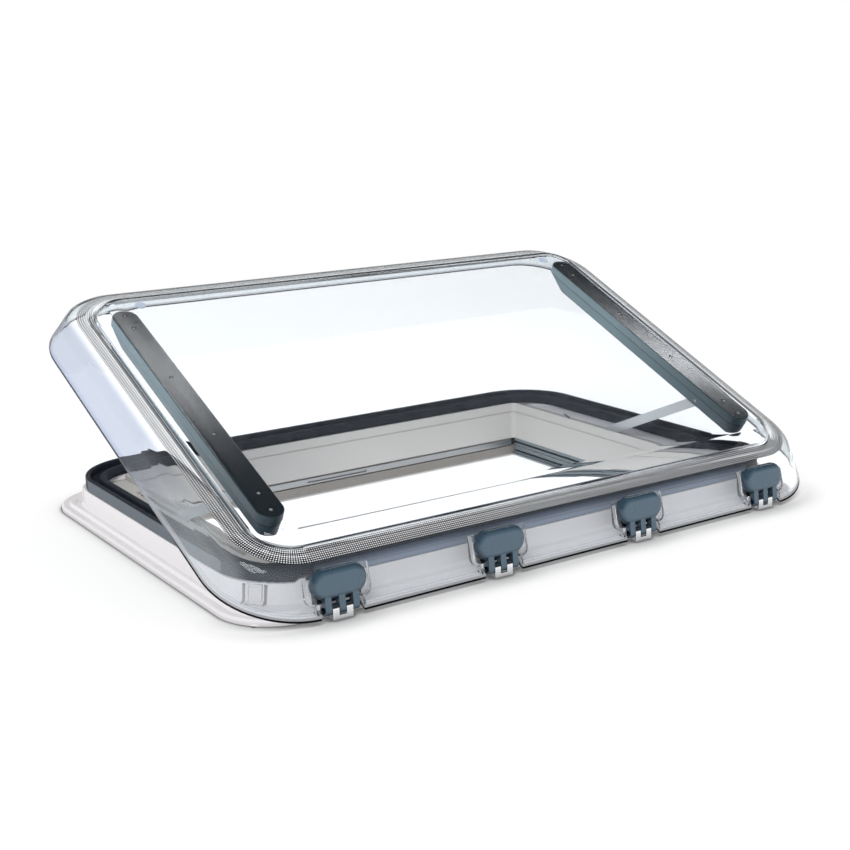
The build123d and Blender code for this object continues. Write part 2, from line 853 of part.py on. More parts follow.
def save_hinges(piece, name):
    """Writes a hinge piece at each hinge, on the lid."""
    save([opened(Pos(x, 0, 0) * piece) for x in hinge_x], name)


def build_frame():
    save(outer_frame(), "outer_frame")
    save(corner_clips(), "corner_clips")
    save(rubber_seal(), "rubber_seal")
    save(inner_lining(), "inner_lining")
    save(ceiling_frame(), "ceiling_frame")
    save(frame_screws(), "frame_screws")
    save_pair(side_track(), "side_track")
    hook = cable_hook()
    save([hook, other_side(hook)], "cable_hooks")
    steel = bracket()
    save([on_pin(Pos(x, 0, 0) * steel) for x in hinge_x], "hinge_brackets")
    screws = [bracket_screw(dx) for dx in finger_places()]
    save([on_pin(Pos(x, 0, 0) * screw) for x in hinge_x for screw in screws], "bracket_screws")


def build_blinds():
    save_pair(blind_rail(), "blind_rail")
    save(cassette(screen_slot_z), "screen_cassette")
    save(other_end(cassette(blind_slot_z)), "blind_cassette")
    save(pull_bar(screen_slot_z), "screen_pull_bar")
    save(other_end(pull_bar(blind_slot_z)), "blind_pull_bar")
    save(cloth_roll(), "screen_roll")
    save(other_end(cloth_roll()), "blind_roll")
    save([roller_tube(), other_end(roller_tube())], "roller_tubes")


def build_lid():
    save(opened(outer_pane()), "outer_pane")
    save(opened(inner_pane()), "inner_pane")
    save([opened(plug) for plug in vent_plugs()], "vent_plugs")
    save_pair(opened(housing_base()), "arm_base")
    save_pair(opened(housing_cover()), "arm_cover")
    save([opened(screw) for screw in housing_screws()], "housing_screws")
    save_hinges(hinge_cover(), "hinge_covers")
    save_hinges(hinge_plate(), "hinge_plates")
    save_hinges(hinge_pin(), "hinge_pins")
    bolts = [hinge_bolt(dx) for dx in (-bolt_x, bolt_x)]
    save([opened(Pos(x, 0, 0) * bolt) for x in hinge_x for bolt in bolts], "hinge_bolts")
    pivot = opened(arm_pivot())
    save([pivot, other_side(pivot)], "arm_pivots")


def build_arms():
    save_pair(stay_arm(), "stay_arm")
    save_pair(roller_axle(), "roller_axle")
    save_pair(guide_roller(), "guide_roller")


build_frame()
build_blinds()
build_lid()
build_arms()
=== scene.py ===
import math

import bmesh
import bpy
from mathutils import Matrix, Vector


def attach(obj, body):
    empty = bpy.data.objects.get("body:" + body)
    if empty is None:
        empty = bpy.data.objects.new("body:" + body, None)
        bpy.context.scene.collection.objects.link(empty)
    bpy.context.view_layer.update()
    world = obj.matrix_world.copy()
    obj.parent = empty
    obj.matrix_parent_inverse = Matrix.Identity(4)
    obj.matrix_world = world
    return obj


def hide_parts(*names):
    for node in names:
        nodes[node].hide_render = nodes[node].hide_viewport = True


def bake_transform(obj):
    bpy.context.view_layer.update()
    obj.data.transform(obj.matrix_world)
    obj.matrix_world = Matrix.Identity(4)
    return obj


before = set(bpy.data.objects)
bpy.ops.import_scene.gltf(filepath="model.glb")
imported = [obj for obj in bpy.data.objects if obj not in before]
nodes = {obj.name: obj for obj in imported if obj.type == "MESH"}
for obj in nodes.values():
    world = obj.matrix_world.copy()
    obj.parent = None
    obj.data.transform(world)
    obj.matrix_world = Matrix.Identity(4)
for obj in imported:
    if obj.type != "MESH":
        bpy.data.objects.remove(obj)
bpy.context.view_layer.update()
scene = bpy.context.scene
print("frame loaded", len(nodes), "nodes")

# the lid is described shut, from its hinge pins, and turned to its open rest position
lid = {"pinY": -0.3615, "pinZ": 0.014, "openAngle": math.radians(23.32)}


def lidToRoof():
    turn = Matrix.Rotation(lid["openAngle"], 4, "X")
    return Matrix.Translation((0, lid["pinY"], lid["pinZ"])) @ turn


def tone(colour):
    # screen colour to the linear values that a shader takes
    parts = [value / 255 for value in colour]
    flat = [p / 12.92 if p < 0.04045 else ((p + 0.055) / 1.055) ** 2.4 for p in parts]
    return (*flat, 1.0)


def grey(level):
    return (level, level, level, 1.0)


class Wire:
    # a socket that can be used in sums
    def __init__(self, paint, socket):
        self.paint = paint
        self.socket = socket

    def __add__(self, other):
        return self.paint.sum("ADD", self, other)

    def __radd__(self, other):
        return self.paint.sum("ADD", other, self)

    def __sub__(self, other):
        return self.paint.sum("SUBTRACT", self, other)

    def __rsub__(self, other):
        return self.paint.sum("SUBTRACT", other, self)

    def __mul__(self, other):
        return self.paint.sum("MULTIPLY", self, other)

    def __rmul__(self, other):
        return self.paint.sum("MULTIPLY", other, self)

    def __truediv__(self, other):
        return self.paint.sum("DIVIDE", self, other)

    def __gt__(self, other):
        return self.paint.sum("GREATER_THAN", self, other)

    def __lt__(self, other):
        return self.paint.sum("LESS_THAN", self, other)

    def __abs__(self):
        return self.paint.function("ABSOLUTE", self)


class Paint:
    # the shader nodes of one material, or of the world
    def __init__(self, owner, ending="OutputMaterial"):
        self.owner = owner
        self.ending = ending
        owner.use_nodes = True
        self.tree = owner.node_tree
        self.tree.nodes.clear()

    def node(self, kind, settings=None, inputs=None, out=0):
        made = self.tree.nodes.new("ShaderNode" + kind)
        for key, value in (settings or {}).items():
            setattr(made, key, value)
        for key, value in (inputs or {}).items():
            if isinstance(value, Wire):
                self.tree.links.new(value.socket, made.inputs[key])
            else:
                made.inputs[key].default_value = value
        return Wire(self, made.outputs[out]) if made.outputs else None

    def sum(self, operation, first, second):
        return self.node("Math", {"operation": operation}, {0: first, 1: second})

    def function(self, operation, value):
        return self.node("Math", {"operation": operation}, {0: value})

    def limited(self, value):
        return self.node("Clamp", {}, {"Value": value})

    def rises(self, value, start, width):
        # 0 up to start, and 1 from one width further on
        return self.limited((value - start) / width)

    def falls(self, value, start, width):
        # 0 from start on, and 1 from one width before it
        return self.limited((start - value) / width)

    def place(self):
        return self.node("TexCoord", out="Object")

    def onLid(self):
        # object coordinates on the shut lid, counted from the hinge pins
        return self.node("Mapping", {"vector_type": "TEXTURE"}, {
            "Vector": self.place(),
            "Location": (0, lid["pinY"], lid["pinZ"]),
            "Rotation": (lid["openAngle"], 0, 0),
        })

    def parts(self, vector):
        split = self.node("SeparateXYZ", {}, {0: vector})
        return [Wire(self, socket) for socket in split.socket.node.outputs]

    def dot(self, vector, direction):
        return self.node("VectorMath", {"operation": "DOT_PRODUCT"}, {0: vector, 1: direction}, out=1)

    def facing(self, direction):
        # 1 where the surface looks that way at rest
        return self.dot(self.node("TexCoord", out="Normal"), direction)

    def ray(self, kind):
        return self.node("LightPath", out=kind)

    def noise(self, vector, scale, detail=2.0, rough=0.5):
        return self.node("TexNoise", {}, {
            "Vector": vector, "Scale": scale, "Detail": detail, "Roughness": rough})

    def stretched(self, vector, scale):
        return self.node("Mapping", {"vector_type": "POINT"}, {"Vector": vector, "Scale": scale})

    def blend(self, factor, first, second):
        return self.node("Mix", {"data_type": "RGBA"}, {0: factor, 6: first, 7: second}, out=2)

    def bump(self, height, strength, distance):
        return self.node("Bump", {}, {"Height": height, "Strength": strength, "Distance": distance})

    def surface(self, inputs, kind="BsdfPrincipled"):
        return self.node(kind, {}, inputs)

    def mixed(self, factor, first, second):
        return self.node("MixShader", {}, {0: factor, 1: first, 2: second})

    def finish(self, shader):
        self.node(self.ending, {}, {"Surface": shader})
        return self.owner


def newPaint(name):
    return Paint(bpy.data.materials.new(name))


# moulded plastics: the colour drifts slowly to another and the gloss is uneven; grain and dim are optional
moulding = {
    "driftScale": 9.0, "glossScale": 40.0, "coatRough": 0.12, "ior": 1.49, "grainSize": 0.0009,
    "grainStrength": 0.5, "dimLeftOf": 0.05, "dimWidth": 0.3, "dimBehind": 0.22, "dimDepth": 0.04,
}
plastics = {
    "frameWhite": {"colour": (230, 227, 229), "drift": (224, 221, 223), "rough": 0.32, "uneven": 0.03},
    "clipWhite": {"colour": (226, 223, 225), "drift": (218, 215, 217), "rough": 0.34, "uneven": 0.03},
    "liningGrey": {"colour": (212, 209, 205), "drift": (204, 201, 197), "rough": 0.42, "uneven": 0.1,
                   "grainDepth": 0.00012, "dim": (180, 178, 176)},
    "trackGrey": {"colour": (196, 194, 190), "drift": (182, 180, 176), "rough": 0.4, "uneven": 0.1,
                  "grainDepth": 0.00012},
    "railSlate": {"colour": (132, 142, 147), "drift": (118, 128, 133), "rough": 0.4, "uneven": 0.1,
                  "grainDepth": 0.00012},
    "cassetteGrey": {"colour": (150, 144, 138), "drift": (136, 130, 124), "rough": 0.42, "uneven": 0.1,
                     "grainDepth": 0.00012},
    "plugGrey": {"colour": (176, 186, 206), "drift": (166, 177, 198), "rough": 0.3, "uneven": 0.06,
                 "grainDepth": 0.00002},
    "plateBlack": {"colour": (30, 33, 37), "drift": (22, 24, 27), "rough": 0.4, "uneven": 0.1,
                   "grainDepth": 0.0001},
    "rollerWhite": {"colour": (226, 226, 222), "drift": (214, 214, 210), "rough": 0.4, "uneven": 0.1,
                    "grainDepth": 0.0001},
    "armGrey": {"colour": (208, 213, 215), "drift": (200, 205, 207), "rough": 0.3, "uneven": 0.08,
                "grainDepth": 0.00005, "grainSize": 0.0008, "coat": 0.2},
}


def mouldedPlastic(name, look):
    paint = newPaint(name)
    place = paint.place()
    drift = paint.noise(place, moulding["driftScale"], 3.0)
    colour = paint.blend(drift, tone(look["colour"]), tone(look["drift"]))
    if "dim" in look:
        # the left end of the back wall gets less light than the rest
        sideways, lengthways = paint.parts(place)[:2]
        left = paint.falls(sideways, moulding["dimLeftOf"], moulding["dimWidth"])
        behind = paint.rises(lengthways, moulding["dimBehind"], moulding["dimDepth"])
        colour = paint.blend(left * behind, colour, tone(look["dim"]))
    gloss = paint.noise(place, moulding["glossScale"], 3.0)
    inputs = {
        "Base Color": colour,
        "Roughness": look["rough"] + (gloss - 0.5) * look["uneven"],
        "Coat Weight": look.get("coat", 0.0),
        "Coat Roughness": moulding["coatRough"],
        "IOR": moulding["ior"],
    }
    if "grainDepth" in look:
        grain = paint.noise(place, 1.0 / look.get("grainSize", moulding["grainSize"]), 2.0, 0.6)
        inputs["Normal"] = paint.bump(grain, moulding["grainStrength"], look["grainDepth"])
    return paint.finish(paint.surface(inputs))


# arm housings, with the places of their screws on the shut lid
housing = {
    "top": (30, 38, 43), "topDrift": (25, 32, 37), "driftScale": 9.0,
    "wallBack": (122, 142, 148), "wallFront": (46, 62, 70), "paleFrom": 0.12, "paleLength": 0.3,
    "wallFrom": 0.9, "wallTurn": 0.4, "rough": 0.09, "wallRough": 0.25, "uneven": 0.02, "ior": 1.49,
    "screwX": 0.4165, "screws": (0.131, 0.166, 0.3, 0.44, 0.574, 0.609), "screwHead": 0.0035,
    "recess": (9, 11, 13), "ring": 0.0016, "ringEdge": 0.0004,
}
housingScrew = {
    "bright": (235, 237, 240), "dark": (34, 38, 42), "brightRadius": 0.0017, "edge": 0.0006,
    "streakStretch": (6, 1, 1), "streakScale": 200.0, "streakShare": 0.2, "streakDepth": 0.0001,
    "rough": 0.3, "uneven": 0.1, "dulled": 0.8,
}


def screwDistance(paint, sideways, along):
    # distance from the nearest housing screw
    nearest = abs(along - housing["screws"][0])
    for place in housing["screws"][1:]:
        nearest = paint.sum("MINIMUM", nearest, abs(along - place))
    across = abs(sideways) - housing["screwX"]
    return paint.function("SQRT", nearest * nearest + across * across)


def housingPlastic(name):
    # satin top with painted shade round the screws as if in recesses, and matt walls painted paler than the
    # top as painted light, which fades towards the hinges
    paint = newPaint(name)
    onLid = paint.onLid()
    sideways, along = paint.parts(onLid)[:2]
    upwards = paint.facing((0, -math.sin(lid["openAngle"]), math.cos(lid["openAngle"])))
    wall = paint.falls(upwards, housing["wallFrom"], housing["wallTurn"])
    drift = paint.noise(onLid, housing["driftScale"], 3.0)
    top = paint.blend(drift, tone(housing["top"]), tone(housing["topDrift"]))
    # painted light: the walls are paler than the top, most towards the back
    paler = paint.rises(along, housing["paleFrom"], housing["paleLength"])
    side = paint.blend(paler, tone(housing["wallFront"]), tone(housing["wallBack"]))
    # painted shade: a dark ring round each screw head, as if the head sat in a recess
    ringWidth = housing["screwHead"] + housing["ring"]
    ring = paint.falls(screwDistance(paint, sideways, along), ringWidth, housing["ringEdge"])
    return paint.finish(paint.surface({
        "Base Color": paint.blend(ring, paint.blend(wall, top, side), tone(housing["recess"])),
        "Roughness": housing["rough"] + wall * housing["wallRough"] + (drift - 0.5) * housing["uneven"],
        "IOR": housing["ior"],
    }))


def recessedScrew(name):
    # the head is bright in its middle and dark round it, where the recess shades it
    look = housingScrew
    paint = newPaint(name)
    onLid = paint.onLid()
    sideways, along = paint.parts(onLid)[:2]
    shaded = paint.rises(screwDistance(paint, sideways, along), look["brightRadius"], look["edge"])
    streak = paint.noise(paint.stretched(onLid, look["streakStretch"]), look["streakScale"], 2.0)
    middle = paint.blend(streak * look["streakShare"], tone(look["bright"]), tone(look["dark"]))
    return paint.finish(paint.surface({
        "Base Color": paint.blend(shaded, middle, tone(look["dark"])),
        "Metallic": 1.0 - shaded * look["dulled"],
        "Roughness": look["rough"] + (streak - 0.5) * look["uneven"],
        "Normal": paint.bump(streak, 0.1, look["streakDepth"]),
    }))


# hinge covers, whose fronts lean back on the shut lid
# the edge colour is the painted shade of faces that turn away from the front
covers = {
    "colour": (70, 92, 107), "edge": (36, 54, 68), "shadeShare": 0.8, "lean": math.radians(30),
    "turnFrom": 0.985, "turn": 0.3, "driftScale": 30.0, "drift": 0.1, "rough": 0.27, "uneven": 0.06,
    "coat": 0.2, "grainScale": 1200.0, "grainDepth": 0.00002,
}


def roundedCovers(name):
    # painted shade: darker where the face turns away from the cover's front, plus a slow random drift in
    # tone
    paint = newPaint(name)
    place = paint.place()
    lean = covers["lean"] - lid["openAngle"]
    frontwards = paint.facing((0, -math.cos(lean), math.sin(lean)))
    turned = paint.falls(frontwards, covers["turnFrom"], covers["turn"])
    drift = paint.noise(place, covers["driftScale"], 3.0) - 0.5
    grain = paint.noise(place, covers["grainScale"], 2.0, 0.6)
    shadeAndDrift = turned * covers["shadeShare"] + drift * covers["drift"]
    return paint.finish(paint.surface({
        "Base Color": paint.blend(shadeAndDrift, tone(covers["colour"]), tone(covers["edge"])),
        "Roughness": covers["rough"] + drift * covers["uneven"],
        "Coat Weight": covers["coat"],
        "Normal": paint.bump(grain, 0.5, covers["grainDepth"]),
    }))


# brushed or plated metals; the streaks run along the axes whose stretch is small
metals = {
    "bracketChrome": {"colour": (246, 248, 250), "streaks": (234, 237, 240), "rough": 0.14,
                      "uneven": 0.06, "stretch": (1, 1, 6)},
    "screwSteel": {"colour": (222, 223, 225), "streaks": (200, 201, 204), "rough": 0.25,
                   "uneven": 0.1, "stretch": (6, 1, 1)},
    "pinBlack": {"colour": (40, 42, 45), "streaks": (28, 29, 32), "rough": 0.35,
                 "uneven": 0.1, "stretch": (1, 6, 6)},
    "barMetal": {"colour": (205, 206, 207), "streaks": (190, 191, 193), "rough": 0.32,
                 "uneven": 0.1, "stretch": (1, 12, 12)},
}
metalStreak = {"scale": 30.0, "strength": 0.15, "depth": 0.0002}


def streakedMetal(name, look):
    paint = newPaint(name)
    streak = paint.noise(paint.stretched(paint.place(), look["stretch"]), metalStreak["scale"], 3.0)
    return paint.finish(paint.surface({
        "Base Color": paint.blend(streak, tone(look["colour"]), tone(look["streaks"])),
        "Metallic": 1.0,
        "Roughness": look["rough"] + (streak - 0.5) * look["uneven"],
        "Normal": paint.bump(streak, metalStreak["strength"], metalStreak["depth"]),
    }))


# seal: its side walls carry a painted sheen that its lips don't, and its front wall is paler lower down
seal = {
    "colour": (44, 50, 60), "drift": (34, 39, 48), "driftScale": 55.0,
    "sideSheen": (98, 106, 114), "frontPale": (142, 152, 170), "frontTop": (62, 72, 90),
    "wallTop": 0.0575, "topEdge": 0.001, "sideX": 0.4702, "sideEdge": 0.0008,
    "frontY": -0.3145, "frontEdge": 0.001, "paleTop": 0.043, "paleFade": 0.0135,
    "rough": 0.5, "uneven": 0.2, "ior": 1.5, "shine": 0.14, "poreScale": 900.0, "pores": 0.02,
}


def sealRubber(name):
    paint = newPaint(name)
    place = paint.place()
    sideways, lengthways, height = paint.parts(place)
    below = paint.falls(height, seal["wallTop"], seal["topEdge"])
    sideWall = paint.rises(abs(sideways), seal["sideX"], seal["sideEdge"]) * below
    frontWall = paint.falls(lengthways, seal["frontY"], seal["frontEdge"]) * below
    drift = paint.noise(place, seal["driftScale"], 4.0)
    pores = paint.noise(place, seal["poreScale"], 2.0)
    higher = paint.rises(height, seal["paleTop"], seal["paleFade"])
    front = paint.blend(higher, tone(seal["frontPale"]), tone(seal["frontTop"]))
    colour = paint.blend(drift, tone(seal["colour"]), tone(seal["drift"]))
    # painted sheen: the outer side walls are paler than the lips
    colour = paint.blend(sideWall, colour, tone(seal["sideSheen"]))
    return paint.finish(paint.surface({
        "Base Color": paint.blend(frontWall, colour, front),
        "Roughness": seal["rough"] + (drift - 0.5) * seal["uneven"],
        "IOR": seal["ior"],
        "Specular IOR Level": seal["shine"],
        "Normal": paint.bump(pores, seal["pores"], 0.0001),
    }))


# clear panes; heights and lengths are those of the shut lid
acrylic = {
    "tint": (250, 252, 254), "edgeTint": (238, 243, 245), "sideShade": (178, 185, 200),
    "rimShade": (160, 169, 192), "milk": (224, 230, 235), "rim": (206, 208, 213), "cutEdge": (12, 14, 17),
    "ior": 1.45, "shadowTint": (0.945, 0.948, 0.955, 1.0), "innerShare": 0.2,
    "skirtTop": 0.05, "skirtFade": 0.012, "sideX": 0.48, "sideFade": 0.012,
    "rimTop": 0.001, "rimFade": 0.001, "cutTop": -0.0028, "cutFade": 0.0003,
    "lineHeight": 0.0018, "lineHalf": 0.0005,
    "farFrom": 0.15, "farFade": 0.2, "nearTo": 0.27, "nearFade": 0.1,
    "hazeScale": 6.0, "hazeTint": 0.12, "milkShare": 0.04, "sideMilk": 0.07, "milkHaze": 0.3,
    "rimShare": 0.45, "cutShare": 0.8, "lineShare": 0.4,
}


def clearAcrylic(name, tinted):
    paint = newPaint(name)
    onLid = paint.onLid()
    sideways, along, height = paint.parts(onLid)
    haze = paint.noise(onLid, acrylic["hazeScale"], 2.0)
    skirt = paint.falls(height, acrylic["skirtTop"], acrylic["skirtFade"]) * tinted
    rim = paint.falls(height, acrylic["rimTop"], acrylic["rimFade"]) * tinted
    # the side walls get a painted bluish shade towards the back, darker at the rim, and are milky towards
    # the hinges
    side = paint.rises(abs(sideways), acrylic["sideX"], acrylic["sideFade"]) * tinted
    farSide = side * paint.rises(along, acrylic["farFrom"], acrylic["farFade"])
    nearSide = side * paint.falls(along, acrylic["nearTo"], acrylic["nearFade"])
    colour = paint.blend(skirt, tone(acrylic["tint"]), tone(acrylic["edgeTint"]))
    sideShadeColour = paint.blend(rim, tone(acrylic["sideShade"]), tone(acrylic["rimShade"]))
    colour = paint.blend(farSide, colour, sideShadeColour)
    colour = paint.blend(haze * acrylic["hazeTint"], colour, tone(acrylic["edgeTint"]))
    glass = paint.surface({
        "Base Color": colour,
        "Roughness": 0.0,
        "IOR": acrylic["ior"],
        "Transmission Weight": 1.0,
    })
    # painted light and shade on the skirt's bottom edge: a painted dark line at the cut edge, a pale rim
    # over it as a painted highlight, and a thin painted dark line above that
    cutEdge = paint.falls(height, acrylic["cutTop"], acrylic["cutFade"]) * (1 - farSide) * tinted
    line = paint.limited(1 - abs(height - acrylic["lineHeight"]) / acrylic["lineHalf"])
    line = line * (1 - farSide) * tinted
    painted = paint.blend(rim, tone(acrylic["milk"]), tone(acrylic["rim"]))
    painted = paint.blend(paint.limited(cutEdge + line), painted, tone(acrylic["cutEdge"]))
    milk = paint.surface({"Base Color": painted, "Roughness": 1.0, "Specular IOR Level": 0.0})
    milky = skirt * (acrylic["milkShare"] + nearSide * acrylic["sideMilk"])
    milky = milky * (1 - acrylic["milkHaze"] / 2 + haze * acrylic["milkHaze"])
    milky = milky + rim * (1 - farSide) * acrylic["rimShare"]
    milky = paint.limited(milky + cutEdge * acrylic["cutShare"] + line * acrylic["lineShare"])
    glass = paint.mixed(milky, glass, milk)
    # light that only passes on its way to other pieces goes straight through
    through = paint.surface({"Color": acrylic["shadowTint"]}, "BsdfTransparent")
    blurred = paint.limited(paint.ray("Is Glossy Ray") - paint.ray("Is Singular Ray"))
    passing = paint.ray("Is Shadow Ray") + paint.ray("Is Diffuse Ray")
    return paint.finish(paint.mixed(paint.limited(passing + blurred), glass, through))


# woven cloths: pitch of the threads in metres, and how much of the surface they cover
weaves = {
    "screenMesh": {"colour": (62, 64, 66), "slubs": (48, 50, 52), "pitch": 0.0013, "cover": 0.55},
    "blackoutCloth": {"colour": (186, 183, 176), "slubs": (172, 169, 162), "pitch": 0.0009, "cover": 1.0},
}
thread = {
    "slubStretch": (40, 400, 400), "slubScale": 3.0, "rough": 0.75, "uneven": 0.2,
    "gapFrom": 0.6, "gapCover": 0.5, "strength": 0.4,
}


def wovenCloth(name, look):
    # threads along and across in object coordinates, with gaps between them where it is an open mesh
    paint = newPaint(name)
    place = paint.place()
    sideways, lengthways = paint.parts(place)[:2]
    warp = paint.function("COSINE", sideways * (2 * math.pi / look["pitch"]))
    weft = paint.function("COSINE", lengthways * (2 * math.pi / look["pitch"]))
    slub = paint.noise(paint.stretched(place, thread["slubStretch"]), thread["slubScale"], 3.0)
    crossing = paint.limited(abs(warp + weft) - thread["gapFrom"])
    return paint.finish(paint.surface({
        "Base Color": paint.blend(slub, tone(look["colour"]), tone(look["slubs"])),
        "Roughness": thread["rough"] + (slub - 0.5) * thread["uneven"],
        "Alpha": paint.limited(look["cover"] + crossing * thread["gapCover"]),
        "Normal": paint.bump(warp * weft, thread["strength"], look["pitch"] / 4),
    }))


# printed dots: sizes in metres on the band's own map, covers as shares of a full one
dots = {
    "pitchAlong": 0.003, "pitchAcross": 0.0031, "dark": (30, 33, 38), "light": (250, 250, 252),
    "darkFrom": -0.35, "lightFrom": -0.8, "dotEdge": 0.5, "darkCover": 0.85, "lightCover": 0.75,
    "ground": (208, 212, 219), "darkGround": (60, 66, 77), "groundCover": 0.08, "darkGroundCover": 0.6,
    "darkWidth": 0.0125, "darkFade": 0.004, "patchScale": 120.0, "patches": 0.2,
    "fadeFrom": 0.1, "fadeWidth": 0.08, "fadedGround": 0.5, "fadedCover": 0.8,
    "rough": 0.25, "raised": 0.0004,
}


def printedDots(name):
    # rows of small raised dots round the rim of the raised pane, paler away from the hinges
    paint = newPaint(name)
    along, across = paint.parts(paint.node("TexCoord", out="UV"))[:2]
    spot = (paint.function("COSINE", along * (2 * math.pi / dots["pitchAlong"]))
            + paint.function("COSINE", across * (2 * math.pi / dots["pitchAcross"])))
    darkSpot = paint.rises(spot, dots["darkFrom"], dots["dotEdge"])
    # painted highlight: light spots between the dark dots, where the raised dots catch light
    glintSpot = paint.falls(spot, dots["lightFrom"], dots["dotEdge"])
    patch = paint.noise(paint.place(), dots["patchScale"], 2.0)
    fromHinges = paint.parts(paint.onLid())[1]
    faded = paint.rises(fromHinges, dots["fadeFrom"], dots["fadeWidth"])
    # the outer rows lie on a dark ground
    outerRows = paint.falls(across, dots["darkWidth"], dots["darkFade"]) * (1 - faded * dots["fadedGround"])
    colour = paint.blend(outerRows, tone(dots["ground"]), tone(dots["darkGround"]))
    colour = paint.blend(darkSpot, colour, tone(dots["dark"]))
    colour = paint.blend(glintSpot, colour, tone(dots["light"]))
    cover = dots["groundCover"] + outerRows * dots["darkGroundCover"] + darkSpot * dots["darkCover"]
    cover = cover + glintSpot * dots["lightCover"] + (patch - 0.5) * dots["patches"]
    return paint.finish(paint.surface({
        "Base Color": colour,
        "Roughness": dots["rough"],
        "Alpha": paint.limited(cover) * (1 - faded * (1 - dots["fadedCover"])),
        "Normal": paint.bump(spot, 0.6, dots["raised"]),
    }))


finishes = {
    "housingSlate": housingPlastic("housingSlate"),
    "housingScrew": recessedScrew("housingScrew"),
    "coverSlate": roundedCovers("coverSlate"),
    "sealRubber": sealRubber("sealRubber"),
    "outerAcrylic": clearAcrylic("outerAcrylic", 1.0),
    "innerAcrylic": clearAcrylic("innerAcrylic", acrylic["innerShare"]),
    "printedDots": printedDots("printedDots"),
}
for looks, makeFinish in ((plastics, mouldedPlastic), (metals, streakedMetal), (weaves, wovenCloth)):
    for name, look in looks.items():
        finishes[name] = makeFinish(name, look)
print("finishes made", len(finishes))


def newPiece(name, mesh, material, body):
    piece = bpy.data.objects.new(name, mesh)
    scene.collection.objects.link(piece)
    mesh.materials.clear()
    mesh.materials.append(material)
    if body:
        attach(piece, body)
    return piece


# how each copy of a node is dressed: distances in metres, angles in degrees
dressing = {
    "merge": 0.000002, "flatAngle": 0.3, "smoothAngle": 35.0,
    "edgeSegments": 2, "edgeAngle": 30.0, "flatWeight": 90,
}


def softenEdges(piece, width):
    bevel = piece.modifiers.new("roundedEdges", "BEVEL")
    bevel.width = width
    bevel.segments = dressing["edgeSegments"]
    bevel.limit_method = "ANGLE"
    bevel.angle_limit = math.radians(dressing["edgeAngle"])


def flattenShading(piece):
    # large flat faces keep their own direction and the small ones between them bend
    weighted = piece.modifiers.new("flatFacesFirst", "WEIGHTED_NORMAL")
    weighted.mode = "FACE_AREA"
    weighted.weight = dressing["flatWeight"]
    weighted.keep_sharp = True


def finishedCopy(node, name, finishName, body, edge=0.0, smoothAngle=dressing["smoothAngle"]):
    # the node's own shape, merged and smoothed, with its edges rounded
    mesh = nodes[node].data.copy()
    mesh.name = name
    if "custom_normal" in mesh.attributes:
        mesh.attributes.remove(mesh.attributes["custom_normal"])
    shape = bmesh.new()
    shape.from_mesh(mesh)
    bmesh.ops.remove_doubles(shape, verts=shape.verts, dist=dressing["merge"])
    bmesh.ops.dissolve_limit(
        shape, angle_limit=math.radians(dressing["flatAngle"]), verts=shape.verts, edges=shape.edges,
        delimit=set())
    for face in shape.faces:
        face.smooth = True
    shape.to_mesh(mesh)
    shape.free()
    mesh.set_sharp_from_angle(angle=math.radians(smoothAngle))
    piece = newPiece(name, mesh, finishes[finishName], body)
    if edge:
        softenEdges(piece, edge)
    flattenShading(piece)
    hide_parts(node)
    return piece


# copies of the solid nodes: piece, finish, body and the width of the rounded edges
solidPieces = {
    "outer_frame": ("outerFrame", "frameWhite", "frame", 0.0012),
    "corner_clips": ("cornerClips", "clipWhite", "frame", 0.0004),
    "rubber_seal": ("rubberSeal", "sealRubber", "frame", 0.0022),
    "inner_lining": ("innerLining", "liningGrey", "frame", 0.0006),
    "side_track_right": ("sideTrackRight", "trackGrey", "frame", 0.0008),
    "side_track_left": ("sideTrackLeft", "trackGrey", "frame", 0.0008),
    "blind_rail_right": ("blindRailRight", "railSlate", "frame", 0.0004),
    "blind_rail_left": ("blindRailLeft", "railSlate", "frame", 0.0004),
    "screen_cassette": ("screenCassette", "cassetteGrey", "frame", 0.0006),
    "blind_cassette": ("blindCassette", "cassetteGrey", "frame", 0.0006),
    "screen_pull_bar": ("screenPullBar", "barMetal", "screen_bar", 0.0003),
    "blind_pull_bar": ("blindPullBar", "barMetal", "blind_bar", 0.0003),
    "hinge_brackets": ("hingeBrackets", "bracketChrome", "frame", 0.0005),
    "arm_base_right": ("armBaseRight", "housingSlate", "lid", 0.0006),
    "arm_base_left": ("armBaseLeft", "housingSlate", "lid", 0.0006),
    "arm_cover_right": ("armCoverRight", "housingSlate", "lid", 0.0012),
    "arm_cover_left": ("armCoverLeft", "housingSlate", "lid", 0.0012),
    "hinge_covers": ("hingeCovers", "coverSlate", "lid", 0.0006),
    "hinge_plates": ("hingePlates", "plateBlack", "lid", 0.0003),
    "stay_arm_right": ("stayArmRight", "armGrey", "arm_right", 0.0004),
    "stay_arm_left": ("stayArmLeft", "armGrey", "arm_left", 0.0004),
}
for node, (name, finishName, body, edge) in solidPieces.items():
    finishedCopy(node, name, finishName, body, edge)
print("solid pieces made", len(solidPieces))

# nodes that stay as they are and only take a finish
keptNodes = {
    "ceiling_frame": "liningGrey",
    "frame_screws": "screwSteel",
    "cable_hooks": "screwSteel",
    "roller_tubes": "barMetal",
    "bracket_screws": "screwSteel",
    "vent_plugs": "plugGrey",
    "housing_screws": "housingScrew",
    "hinge_bolts": "screwSteel",
    "hinge_pins": "pinBlack",
    "arm_pivots": "screwSteel",
    "roller_axle_right": "screwSteel",
    "roller_axle_left": "screwSteel",
    "guide_roller_right": "rollerWhite",
    "guide_roller_left": "rollerWhite",
}
for node, finishName in keptNodes.items():
    nodes[node].data.materials.clear()
    nodes[node].data.materials.append(finishes[finishName])

